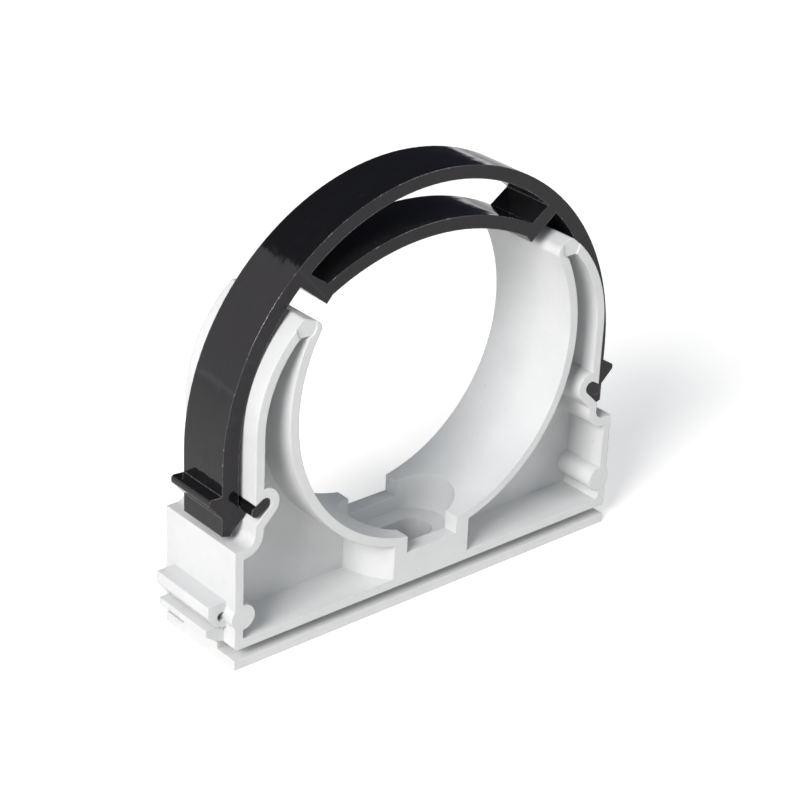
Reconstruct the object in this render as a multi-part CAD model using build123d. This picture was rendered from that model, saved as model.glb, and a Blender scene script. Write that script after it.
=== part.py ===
from build123d import *
from math import acos, atan2, cos, degrees, hypot, radians, sin, sqrt
import os

# A two-piece clip for rigid conduit, in millimetres: a moulded cradle on a foot rail, closed over the
# conduit by a separate strap with a sprung arch. The origin is the centre of the underside, X runs
# along the foot, Y along the conduit and Z up. Section points are (x, z) measured from the conduit axis.

# Base
bore_radius = 31.5
wall = 1.8
depth = 20.4
arm_thickness = 8.85
arm_reach = bore_radius + arm_thickness
end_overhang = 4.15
half_length = arm_reach + end_overhang
axis_height = 44.75
flange_thickness = 1.95
groove_height = 2.05
groove_depth = 5.1
web_thickness = 2.2
corner_chamfer = 0.5

# Shoulder, socket and arm of the base
ledge_radius = 2.1
ledge_centre = (arm_reach + ledge_radius, -19.0)
socket_radius = 1.25
socket_setback = 2.0
socket_centre = (arm_reach - socket_setback, -13.6)
ramp_angle = 225
tooth_height = -13.3
arm_centre = (15.35, -1.0)
arm_radius = arm_reach - arm_centre[0]
bore_end_angle = 33.1
tip_slope = 22
nose_radius = 1.5
crest_radius = 0.8
cavity_top = 15.4
ejector_radius = 2.1
ejector_depth = 0.3
ejector_centre = (30.2, 17.1)

# Ridges inside the end walls. From here to the couplings, heights are above the underside.
ridge_radius = 2.45
ridge_height = 10.25
ridge_proud = 2.5

# Screw boss in the middle
boss_radius = 13.5
counterbore_radius = 7.1
counterbore_offset = 4.75
counterbore_floor = 7.55
sill_height = 10.45
sill_half_width = 5.85
screw_radius = 3.5
screw_offset = 4.4

# Couplings on the two ends, for ganging clips side by side
coupling_top = 12.95
coupling_face = 10.65
coupling_reach = 3.8
coupling_setback = 2.5
jaw_setback = 3.2
slit = 0.4
slit_root = 1.2
nose_reach = 2.05
jaw_top = 7.9
jaw_face = 6.65
jaw_toe_reach = 1.4
jaw_toe = 4.95
core_radius = 0.875
core_depth = 6.0
core_reach = 1.0
rail_reach = 3.3
rail_setback = 3.4
rail_foot = 7.35

# Strap
strap_width = 11.2
strap_centre = -1.1
strap_clearance = 1.05
strap_inner = arm_reach + strap_clearance
strap_inner_centre = -6.5
strap_thickness = 3.38
strap_outer = strap_inner + strap_thickness
strap_outer_centre = -7.4
spring_centre = (0, -22.0)
spring_top = 49.9
spring_thickness = 2.5
rib_angle = 38.3
rib_spread = 4.0
rib_root_spread = 6.0
rib_lip = 0.7
foot_height = -19.4
toe_overhang = 2.85
tip_setback = 0.75
ramp_clearance = 0.25
socket_clearance = 0.2
hook_setback = 0.3
hook_root = (arm_reach - hook_setback, -14.6)
hook_length = 18.0

# Finger tabs of the strap, one on each leg
tab_reach = 2.65
tab_radius = 0.55
tab_foot = -15.9
left_tab_root = -11.7
left_tab_brow = -11.5
left_tab_lip = -12.8
right_tab_root = -10.9
right_tab_brow = -12.5
right_tab_lip = -13.4

groove_top = flange_thickness + groove_height
body_foot = groove_top - axis_height
section = Plane((0, 0, axis_height), x_dir=(1, 0, 0), z_dir=(0, -1, 0))


def polar(radius, angle, centre=(0, 0)):
    """Point at a radius and an angle in degrees from a centre."""
    return (centre[0] + radius * cos(radians(angle)), centre[1] + radius * sin(radians(angle)))


def from_foot(*points):
    """Section points from reaches and heights above the underside."""
    return [(reach, height - axis_height) for reach, height in points]


def meet(start, angle, centre, radius):
    """Point where the ray from start at an angle in degrees leaves a circle."""
    dx, dz = start[0] - centre[0], start[1] - centre[1]
    ux, uz = cos(radians(angle)), sin(radians(angle))
    along = dx * ux + dz * uz
    reach = sqrt(along**2 - dx**2 - dz**2 + radius**2) - along
    return (start[0] + reach * ux, start[1] + reach * uz)


def arc(radius, start, end, centre):
    """Arc round a centre between two angles in degrees, in either sense."""
    return ThreePointArc(*(polar(radius, angle, centre) for angle in (start, (start + end) / 2, end)))


def both_sides(face):
    """The face of the right half together with its mirror image."""
    return face + mirror(face, about=Plane.YZ)


def slab(face, thickness, centre=0.0):
    """The section's face as a solid of a thickness along the conduit."""
    return Pos(0, centre, 0) * extrude(section * face, amount=thickness / 2, both=True)


def shoulder(inset, catch_angle, above):
    """Edges of the end wall, ledge, ramp and socket, moved inwards by the inset, then the points above."""
    end = half_length - inset
    foot = body_foot + inset
    fillet_radius = ledge_radius + inset
    shelf = ledge_centre[1] - fillet_radius
    socket = socket_radius + inset
    ramp_top = polar(socket, ramp_angle, socket_centre)
    upright = ledge_centre[0] - fillet_radius
    return [
        Polyline((0, foot), (end - corner_chamfer, foot), (end, foot + corner_chamfer), (end, shelf),
                 (ledge_centre[0], shelf)),
        arc(fillet_radius, 270, 180, ledge_centre),
        Polyline((upright, ledge_centre[1]), (upright, sum(ramp_top) - upright), ramp_top),
        arc(socket, ramp_angle, catch_angle, socket_centre),
        Polyline(polar(socket, catch_angle, socket_centre), *above, (arm_reach - inset, arm_centre[1])),
    ]


def silhouette():
    """The base's section above its groove: end walls, arms and the floor, open over the bore."""
    tooth = (arm_reach, tooth_height)
    run, rise = tooth[0] - socket_centre[0], tooth[1] - socket_centre[1]
    catch_angle = degrees(atan2(rise, run) + acos(socket_radius / hypot(run, rise)))
    nose = polar(bore_radius, bore_end_angle)
    crest = meet(nose, tip_slope, arm_centre, arm_radius)
    crest_angle = degrees(atan2(crest[1] - arm_centre[1], crest[0] - arm_centre[0]))
    edges = shoulder(0, catch_angle, [tooth])
    edges += [
        arc(arm_radius, 0, crest_angle, arm_centre),
        Polyline(crest, nose, (0, 0), (0, body_foot)),
    ]
    half = make_face(edges) - Circle(bore_radius)
    corners = half.vertices().sort_by(Axis.Y)
    half = fillet(corners[-1:], crest_radius)
    corner = half.vertices().sort_by_distance((*nose, 0))[0]
    return both_sides(fillet(corner, nose_radius))


def pocket():
    """The hollow on each side of the web, one wall inside the silhouette and outside the bore."""
    inner_radius = arm_radius - wall
    catch_angle = degrees(acos((arm_reach - wall - socket_centre[0]) / (socket_radius + wall)))
    top_angle = degrees(acos(sqrt(1 - ((cavity_top - arm_centre[1]) / inner_radius) ** 2)))
    crest = polar(inner_radius, top_angle, arm_centre)
    edges = shoulder(wall, catch_angle, [])
    edges += [
        arc(inner_radius, 0, top_angle, arm_centre),
        Polyline(crest, (0, cavity_top), (0, body_foot + wall)),
    ]
    return both_sides(make_face(edges) - Circle(bore_radius + wall))


def ridges():
    """Half-round ridges up the inner faces of the end walls."""
    centre = half_length - wall - ridge_proud + ridge_radius
    height = ridge_height - axis_height
    inside = Pos(half_length - wall, height) * Rectangle(2 * ridge_proud, 2 * ridge_radius)
    return slab(both_sides(Pos(centre, height) * Circle(ridge_radius) & inside), depth)


def screw_boss():
    """The round boss between the floor and the bore, trimmed flush with the two faces."""
    height = bore_radius
    column = Pos(0, 0, groove_top + height / 2) * Cylinder(boss_radius, height)
    trimmed = column & slab(Rectangle(2 * boss_radius, 2 * axis_height), depth)
    return trimmed - slab(Circle(bore_radius), depth)


def slot(radius, offset, low, high):
    """An upright slot, long in X, between two heights above the underside."""
    return Pos(0, 0, low) * extrude(SlotCenterToCenter(2 * offset, 2 * radius), amount=high - low)


def foot_rail():
    """The flange and its narrower neck, which leave a groove along both long sides."""
    length = 2 * half_length
    flange = Pos(0, 0, flange_thickness / 2) * Box(length, depth, flange_thickness)
    neck_height = groove_height + wall
    neck = Pos(0, 0, flange_thickness + neck_height / 2) * Box(length, depth - 2 * groove_depth, neck_height)
    return flange + neck


def socket_coupling():
    """The left coupling: an upper hook and a lower jaw with a V-shaped notch between them."""
    face = half_length + coupling_reach
    root = half_length - wall / 2
    slit_end = half_length + slit_root
    nose = half_length + nose_reach
    chamfer_top = groove_top + corner_chamfer
    hook = Polygon(*from_foot(
        (root, coupling_top), (face, coupling_top), (face, coupling_face), (nose, jaw_top + slit),
        (slit_end, jaw_top + slit), (slit_end, jaw_top), (root, jaw_top)), align=None)
    jaw = Polygon(*from_foot(
        (root, jaw_top), (face, jaw_top), (face, jaw_face), (half_length + jaw_toe_reach, jaw_toe),
        (half_length, chamfer_top), (root, chamfer_top)), align=None)
    tip = from_foot((nose, jaw_top + slit))[0]
    hook = fillet(hook.vertices().sort_by_distance((*tip, 0))[0], slit)
    solid = slab(hook, depth - 2 * coupling_setback) + slab(jaw, depth - 2 * jaw_setback)
    front = coupling_setback - depth / 2
    bore = Rot(90, 0, 0) * Cylinder(core_radius, core_depth)
    core = Pos(half_length + core_reach, front + core_depth / 2, ridge_height) * bore
    return mirror(solid - core, about=Plane.YZ)


def rail_coupling():
    """The right coupling: a rail with a flat top and a sloping underside."""
    face = half_length + rail_reach
    root = half_length - wall / 2
    rail = Polygon(*from_foot((root, coupling_top), (face, coupling_top), (face, coupling_face),
                              (half_length, rail_foot), (root, rail_foot)), align=None)
    return slab(rail, depth - 2 * rail_setback)


def ejector_marks():
    """Shallow round dips in the front face of the arms' tips."""
    dip = both_sides(Pos(*ejector_centre) * Circle(ejector_radius))
    return slab(dip, 2 * ejector_depth, -depth / 2)


def make_base():
    """The cradle with its web, boss, foot rail and end couplings."""
    hollow = pocket()
    body = slab(silhouette(), depth) - slab(hollow, depth)
    body += [slab(hollow, web_thickness), ridges(), screw_boss(), foot_rail()]
    body += [socket_coupling(), rail_coupling()]
    body -= slot(counterbore_radius, counterbore_offset, counterbore_floor, axis_height)
    body -= slot(screw_radius, screw_offset, 0, counterbore_floor)
    body -= ejector_marks()
    sill_drop = axis_height - sill_height
    sills = Pos(0, -sill_drop / 2) * Rectangle(2 * sill_half_width, sill_drop)
    return body - slab(sills, depth)


def strap_band():
    """Half section of the band with its leg and foot."""
    ramp_sum = sum(polar(socket_radius, ramp_angle, socket_centre)) + ramp_clearance * sqrt(2)
    toe = arm_reach + toe_overhang
    tip = arm_reach - tip_setback
    return make_face([
        arc(strap_outer, 90, 0, (0, strap_outer_centre)),
        Polyline((strap_outer, strap_outer_centre), (strap_outer, foot_height),
                 (toe, ramp_sum - toe), (tip, ramp_sum - tip), hook_root, (strap_inner, hook_root[1]),
                 (strap_inner, strap_inner_centre)),
        arc(strap_inner, 0, 90, (0, strap_inner_centre)),
        Line((0, strap_inner_centre + strap_inner), (0, strap_outer_centre + strap_outer)),
    ])


def spring_arch():
    """Half section of the sprung arch under the crown and the rib that carries its end."""
    bottom = spring_top - spring_thickness
    outer_end = meet((0, 0), rib_angle, spring_centre, spring_top)
    inner_end = meet((0, 0), rib_angle, spring_centre, bottom)

    def spring_angle(end):
        return degrees(atan2(end[1] - spring_centre[1], end[0] - spring_centre[0]))

    arch = make_face([
        arc(spring_top, 90, spring_angle(outer_end), spring_centre),
        Line(outer_end, inner_end),
        arc(bottom, spring_angle(inner_end), 90, spring_centre),
        Line((0, spring_centre[1] + bottom), (0, spring_centre[1] + spring_top)),
    ])
    low = hypot(*inner_end) - rib_lip
    band_middle = strap_outer - strap_thickness / 2
    rib_top = [meet((0, 0), angle, (0, strap_outer_centre), band_middle)
               for angle in (rib_angle + rib_spread, rib_angle)]
    rib = Polygon(polar(low, rib_angle), polar(low, rib_angle + rib_root_spread), *rib_top, align=None)
    return arch + rib


def finger_tab(root, brow, lip):
    """A tab on the right leg, from the heights of its root, its upper tip and its lower tip."""
    inside = strap_outer - strap_thickness / 2
    tip = strap_outer + tab_reach
    face = Polygon((inside, root), (strap_outer, root), (tip, brow), (tip, lip), (strap_outer, tab_foot),
                   (inside, tab_foot), align=None)
    corners = [face.vertices().sort_by_distance((tip, height, 0))[0] for height in (brow, lip)]
    return fillet(corners, tab_radius)


def make_strap():
    """The strap, with a hook bar through each foot that is longer than the band is wide."""
    left_tab = mirror(finger_tab(left_tab_root, left_tab_brow, left_tab_lip), about=Plane.YZ)
    right_tab = finger_tab(right_tab_root, right_tab_brow, right_tab_lip)
    hook_radius = socket_radius - socket_clearance
    centre = ((socket_centre[0] + hook_root[0]) / 2, (socket_centre[1] + hook_root[1]) / 2)
    run, rise = hook_root[0] - socket_centre[0], hook_root[1] - socket_centre[1]
    hook = Pos(*centre) * Rot(0, 0, degrees(atan2(rise, run))) * (
        SlotCenterToCenter(hypot(run, rise), 2 * hook_radius))
    face = both_sides(strap_band() + spring_arch()) + left_tab + right_tab
    strap = slab(face, strap_width, strap_centre)
    return strap + slab(both_sides(hook), hook_length, strap_centre)


os.makedirs("parts", exist_ok=True)
export_step(make_base(), "parts/base.step")
export_step(make_strap(), "parts/strap.step")
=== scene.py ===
import math

import bpy
from mathutils import Matrix, Vector

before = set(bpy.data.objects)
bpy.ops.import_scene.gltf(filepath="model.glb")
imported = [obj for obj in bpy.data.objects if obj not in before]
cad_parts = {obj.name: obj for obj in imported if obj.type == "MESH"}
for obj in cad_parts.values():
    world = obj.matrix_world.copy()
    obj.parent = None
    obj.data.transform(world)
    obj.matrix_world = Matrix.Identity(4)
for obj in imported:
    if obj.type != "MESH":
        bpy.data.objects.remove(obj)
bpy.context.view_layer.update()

# Conduit clip in metres: a light grey moulded cradle and a black moulded strap. X runs along the foot,
# Y along the conduit, Z up. MM turns a size in millimetres into metres.
MM = 0.001
AXIS_HEIGHT = 44.75 * MM

# The strap's band: the height of the middle of its round, under the bore's axis, and its middle radius
BAND_HEIGHT = AXIS_HEIGHT - 7 * MM
BAND_RADIUS = 43 * MM

# Studio. The ground's half side, its glow to the camera, and the distances from the object between which
# its unlit part turns pale in reflections
GROUND_REACH = 3.0
GROUND_GLOW = 0.36
FAR_FROM, FAR_TO = 0.8, 1.6

# Lamps: the side of each square one, its colour and the point that it faces
LAMP_SIZE = 0.55
DAYLIGHT = (1.0, 0.975, 0.955)
MIDDLE = (0.0, 0.0, 0.03)

# Surroundings: the even light on the object, and what reflections see. The pale sweep ends at a slanted
# line, over a narrow edge, and fades out towards the right.
FILL = (0.250, 0.285, 0.325, 1)
SWEEP = (0.96, 0.94, 0.96, 1)
DARK = (0.030, 0.032, 0.045, 1)
SWEEP_TILT = 0.35
SWEEP_TOP = 0.505
SWEEP_EDGE = 0.004
SWEEP_GONE, SWEEP_FULL = 0.35, 0.05
WHITE = (1, 1, 1, 1)


def linear(code):
    """sRGB hex code as a linear RGBA colour."""
    parts = [int(code[i:i + 2], 16) / 255 for i in (0, 2, 4)]
    return [c / 12.92 if c <= 0.04045 else ((c + 0.055) / 1.055) ** 2.4 for c in parts] + [1.0]


def add(tree, kind, inputs=None, **settings):
    """Adds a shader node. Settings are its attributes; each input is a number or another node's socket."""
    made = tree.nodes.new("ShaderNode" + kind)
    for name, value in settings.items():
        setattr(made, name, value)
    for name, value in (inputs or {}).items():
        if isinstance(value, bpy.types.NodeSocket):
            tree.links.new(value, made.inputs[name])
        else:
            made.inputs[name].default_value = value
    return made


def per(size_mm):
    """Noise scale, in cycles per metre, of a pattern whose grain is size_mm across."""
    return 1.0 / (size_mm * MM)


def polypropylene_light_grey():
    """Injection moulded polypropylene, light grey: satin, faintly translucent, with slow sink waves and
    the fine spark-eroded grain of the mould."""
    material = bpy.data.materials.new("moulded_polypropylene_light_grey")
    material.use_nodes = True
    tree = material.node_tree
    shader = tree.nodes["Principled BSDF"]
    place = add(tree, "TexCoord").outputs["Object"]
    clouds = add(tree, "TexNoise", {"Vector": place, "Scale": per(8), "Detail": 5.0, "Roughness": 0.65})
    specks = add(tree, "TexNoise", {"Vector": place, "Scale": per(0.9), "Detail": 2.0, "Roughness": 0.6})
    speck_mask = add(tree, "MapRange", {"Value": specks.outputs["Fac"], "From Min": 0.70, "From Max": 0.78})
    tint = add(tree, "Mix", {"Factor": clouds.outputs["Fac"], "A": linear("BFC1C2"), "B": linear("CECFCF")},
               data_type="RGBA")
    dusty = add(tree, "Mix", {"Factor": speck_mask.outputs["Result"], "A": tint.outputs["Result"],
                              "B": linear("B6B8B8")}, data_type="RGBA")
    tree.links.new(dusty.outputs["Result"], shader.inputs["Base Color"])
    gloss = add(tree, "MapRange", {"Value": clouds.outputs["Fac"], "To Min": 0.36, "To Max": 0.50})
    tree.links.new(gloss.outputs["Result"], shader.inputs["Roughness"])
    shader.inputs["IOR"].default_value = 1.49
    shader.inputs["Subsurface Weight"].default_value = 0.08
    shader.inputs["Subsurface Radius"].default_value = (1.0, 0.95, 0.9)
    shader.inputs["Subsurface Scale"].default_value = 1.2 * MM
    soft_edge = add(tree, "Bevel", {"Radius": 0.28 * MM}, samples=6)
    sink = add(tree, "TexNoise", {"Vector": place, "Scale": per(9), "Detail": 1.0})
    waves = add(tree, "Bump", {"Height": sink.outputs["Fac"], "Strength": 0.25, "Distance": 0.12 * MM,
                               "Normal": soft_edge.outputs["Normal"]})
    # The real grain is about 0.05 mm; it is drawn at 0.5 mm so that it shows.
    grain = add(tree, "TexNoise", {"Vector": place, "Scale": per(0.5), "Detail": 3.0})
    skin = add(tree, "Bump", {"Height": grain.outputs["Fac"], "Strength": 0.5, "Distance": 0.025 * MM,
                              "Normal": waves.outputs["Normal"]})
    tree.links.new(skin.outputs["Normal"], shader.inputs["Normal"])
    return material


def nylon_black():
    """Injection moulded nylon, black: semi-gloss, with slow waves that bend its reflections, scuffs that
    run round the band, a faint pale line painted along the edges as a highlight, and brighter specks where
    the edges are rubbed."""
    material = bpy.data.materials.new("moulded_nylon_black")
    material.use_nodes = True
    tree = material.node_tree
    shader = tree.nodes["Principled BSDF"]
    place = add(tree, "TexCoord").outputs["Object"]
    parts = add(tree, "SeparateXYZ", {"Vector": place})
    # The place along the band, as if it were unrolled, and squeezed so that the scuffs run lengthwise
    height = add(tree, "Math", {0: parts.outputs["Z"], 1: BAND_HEIGHT}, operation="SUBTRACT")
    turn = add(tree, "Math", {0: height.outputs["Value"], 1: parts.outputs["X"]}, operation="ARCTAN2")
    around = add(tree, "Math", {0: turn.outputs["Value"], 1: BAND_RADIUS}, operation="MULTIPLY")
    band = add(tree, "CombineXYZ", {"X": around.outputs["Value"], "Y": parts.outputs["Y"]})
    stretch = add(tree, "Mapping", {"Vector": band.outputs["Vector"], "Scale": (0.12, 1.0, 1.0)})
    scuffs = add(tree, "TexNoise", {"Vector": stretch.outputs["Vector"], "Scale": per(0.5), "Detail": 4.0,
                                    "Roughness": 0.7})
    scuff_mask = add(tree, "MapRange", {"Value": scuffs.outputs["Fac"], "From Min": 0.59, "From Max": 0.76})
    clouds = add(tree, "TexNoise", {"Vector": place, "Scale": per(11), "Detail": 3.0, "Roughness": 0.6})
    tint = add(tree, "Mix", {"Factor": clouds.outputs["Fac"], "A": linear("0F1012"), "B": linear("151517")},
               data_type="RGBA")
    rubbed = add(tree, "Mix", {"Factor": scuff_mask.outputs["Result"], "A": tint.outputs["Result"],
                               "B": linear("262528")}, data_type="RGBA")

    # The rounded normal leaves the true one only near an edge. There a faint pale line is painted as a
    # highlight, with brighter specks where the plastic is rubbed.
    soft_edge = add(tree, "Bevel", {"Radius": 0.3 * MM}, samples=6)
    true_normal = add(tree, "NewGeometry").outputs["True Normal"]
    facing = add(tree, "VectorMath", {0: soft_edge.outputs["Normal"], 1: true_normal},
                 operation="DOT_PRODUCT")
    edge = add(tree, "MapRange", {"Value": facing.outputs["Value"], "From Min": 0.995, "From Max": 0.93})
    chips = add(tree, "TexNoise", {"Vector": place, "Scale": per(0.4), "Detail": 2.0, "Roughness": 0.6})
    # At least 0.12 all along an edge, which is a painted highlight line, rising to 0.9 at the rubbed chips
    chips_and_painted_sheen = add(tree, "MapRange", {"Value": chips.outputs["Fac"], "From Min": 0.58, "From Max": 0.72,
                                       "To Min": 0.12, "To Max": 0.9})
    wear_and_painted_highlight = add(tree, "Math", {0: edge.outputs["Result"], 1: chips_and_painted_sheen.outputs["Result"]},
               operation="MULTIPLY")
    # Pale A5A5A8 on the edges: a painted highlight line plus brighter real wear specks
    colour = add(tree, "Mix", {"Factor": wear_and_painted_highlight.outputs["Value"], "A": rubbed.outputs["Result"],
                               "B": linear("A5A5A8")}, data_type="RGBA")
    tree.links.new(colour.outputs["Result"], shader.inputs["Base Color"])
    gloss = add(tree, "MapRange", {"Value": scuffs.outputs["Fac"], "To Min": 0.04, "To Max": 0.13})
    tree.links.new(gloss.outputs["Result"], shader.inputs["Roughness"])
    shader.inputs["IOR"].default_value = 1.52
    shader.inputs["Specular Tint"].default_value = linear("FFF8FF")
    shader.inputs["Specular IOR Level"].default_value = 0.38
    sink = add(tree, "TexNoise", {"Vector": place, "Scale": per(5), "Detail": 2.5})
    waves = add(tree, "Bump", {"Height": sink.outputs["Fac"], "Strength": 0.6, "Distance": 0.15 * MM,
                               "Normal": soft_edge.outputs["Normal"]})
    skin = add(tree, "Bump", {"Height": scuffs.outputs["Fac"], "Strength": 0.15, "Distance": 0.02 * MM,
                              "Normal": waves.outputs["Normal"]})
    tree.links.new(skin.outputs["Normal"], shader.inputs["Normal"])
    return material


def dress(name, material):
    """Gives every material slot of a CAD node the material."""
    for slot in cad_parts[name].material_slots:
        slot.material = material


def seen_by_eye(tree):
    """Two sockets: 1 for rays that come straight from the camera or through glass, and 1 for rays of a
    mirror-like bounce. Both are 0 for the rest."""
    path = add(tree, "LightPath")
    first = add(tree, "Math", {0: path.outputs["Is Camera Ray"], 1: path.outputs["Is Transmission Ray"]},
                operation="MAXIMUM")
    return first.outputs["Value"], path.outputs["Is Glossy Ray"]


def ground():
    """A matt white ground that keeps the object's shadow. A faint glow, seen by the camera only, lifts
    the lit part to the white of the backdrop. Where it lies far off and unlit, reflections see it as
    pale as the sweep that it joins."""
    mesh = bpy.data.meshes.new("ground")
    corners = [(x * GROUND_REACH, y * GROUND_REACH, 0) for x, y in ((-1, -1), (1, -1), (1, 1), (-1, 1))]
    mesh.from_pydata(corners, [], [(0, 1, 2, 3)])
    floor = bpy.data.objects.new("ground", mesh)
    bpy.context.collection.objects.link(floor)
    material = bpy.data.materials.new("matt_white_paper")
    material.use_nodes = True
    tree = material.node_tree
    tree.nodes.remove(tree.nodes["Principled BSDF"])
    camera_ray, glossy_ray = seen_by_eye(tree)
    distance = add(tree, "VectorMath", {0: add(tree, "TexCoord").outputs["Object"]}, operation="LENGTH")
    far = add(tree, "MapRange", {"Value": distance.outputs["Value"], "From Min": FAR_FROM,
                                 "From Max": FAR_TO})
    sheen = add(tree, "Math", {0: far.outputs["Result"], 1: glossy_ray}, operation="MULTIPLY")
    glow = add(tree, "Math", {0: camera_ray, 1: GROUND_GLOW, 2: sheen.outputs["Value"]},
               operation="MULTIPLY_ADD")
    paper = add(tree, "BsdfDiffuse", {"Color": linear("F0EDE9")})
    light = add(tree, "Emission", {"Color": WHITE, "Strength": glow.outputs["Value"]})
    total = add(tree, "AddShader", {0: paper.outputs["BSDF"], 1: light.outputs["Emission"]})
    tree.links.new(total.outputs["Shader"], tree.nodes["Material Output"].inputs["Surface"])
    mesh.materials.append(material)


def surroundings():
    """White to the camera. It lights the object evenly, and reflections see it pale low on the left and
    dark elsewhere, as a table sweep in a dark studio."""
    world = bpy.data.worlds.new("studio")
    bpy.context.scene.world = world
    world.use_nodes = True
    tree = world.node_tree
    tree.nodes.clear()
    camera_ray, glossy_ray = seen_by_eye(tree)
    direction = add(tree, "TexCoord").outputs["Generated"]
    parts = add(tree, "SeparateXYZ", {"Vector": direction})
    rise = add(tree, "Math", {0: parts.outputs["X"], 1: SWEEP_TILT, 2: parts.outputs["Z"]},
               operation="MULTIPLY_ADD")
    low = add(tree, "MapRange", {"Value": rise.outputs["Value"], "From Min": SWEEP_TOP + SWEEP_EDGE,
                                 "From Max": SWEEP_TOP - SWEEP_EDGE})
    left = add(tree, "MapRange", {"Value": parts.outputs["X"], "From Min": SWEEP_GONE,
                                  "From Max": SWEEP_FULL})
    sweep = add(tree, "Math", {0: low.outputs["Result"], 1: left.outputs["Result"]}, operation="MULTIPLY")
    mirrored = add(tree, "Mix", {"Factor": sweep.outputs["Value"], "A": DARK, "B": SWEEP}, data_type="RGBA")
    even = add(tree, "Mix", {"Factor": glossy_ray, "A": FILL, "B": mirrored.outputs["Result"]},
               data_type="RGBA")
    seen = add(tree, "Mix", {"Factor": camera_ray, "A": even.outputs["Result"], "B": WHITE},
               data_type="RGBA")
    back = add(tree, "Background", {"Color": seen.outputs["Result"]})
    add(tree, "OutputWorld", {"Surface": back.outputs["Background"]})


def softbox(name, place, power):
    """A square daylight lamp at a place, facing the middle of the object, with its power in watts."""
    lamp = bpy.data.lights.new(name, "AREA")
    lamp.shape = "SQUARE"
    lamp.size, lamp.energy, lamp.color = LAMP_SIZE, power, DAYLIGHT
    box = bpy.data.objects.new(name, lamp)
    facing = (Vector(place) - Vector(MIDDLE)).to_track_quat("Z", "Y")
    box.matrix_world = Matrix.Translation(place) @ facing.to_matrix().to_4x4()
    bpy.context.collection.objects.link(box)


def camera():
    """The photograph's viewpoint: turned 41 degrees to the left end, 27 degrees up, with a slight roll."""
    azimuth, elevation, roll = (math.radians(a) for a in (41.03, 26.76, 2.61))
    ahead = Vector((math.sin(azimuth) * math.cos(elevation), math.cos(azimuth) * math.cos(elevation),
                    -math.sin(elevation)))
    level = Vector((math.cos(azimuth), -math.sin(azimuth), 0))
    over = level.cross(ahead)
    right = math.cos(roll) * level + math.sin(roll) * over
    up = math.cos(roll) * over - math.sin(roll) * level
    data = bpy.data.cameras.new("camera")
    data.sensor_width = 36
    data.lens = 103.36
    data.clip_start, data.clip_end = 0.01, 20
    eye = bpy.data.objects.new("camera", data)
    place = Vector((-243.996, -279.970, 222.832)) * MM
    turned = Matrix((right, up, -ahead)).transposed().to_4x4()
    eye.matrix_world = Matrix.Translation(place) @ turned
    bpy.context.collection.objects.link(eye)
    bpy.context.scene.camera = eye


bpy.context.scene.view_settings.view_transform = "Standard"
dress("base", polypropylene_light_grey())
dress("strap", nylon_black())
ground()
surroundings()
softbox("left_window", (-1.072, -0.39, 0.771), 24.2)
softbox("right_card", (0.803, -0.892, 0.668), 5.2)
camera()
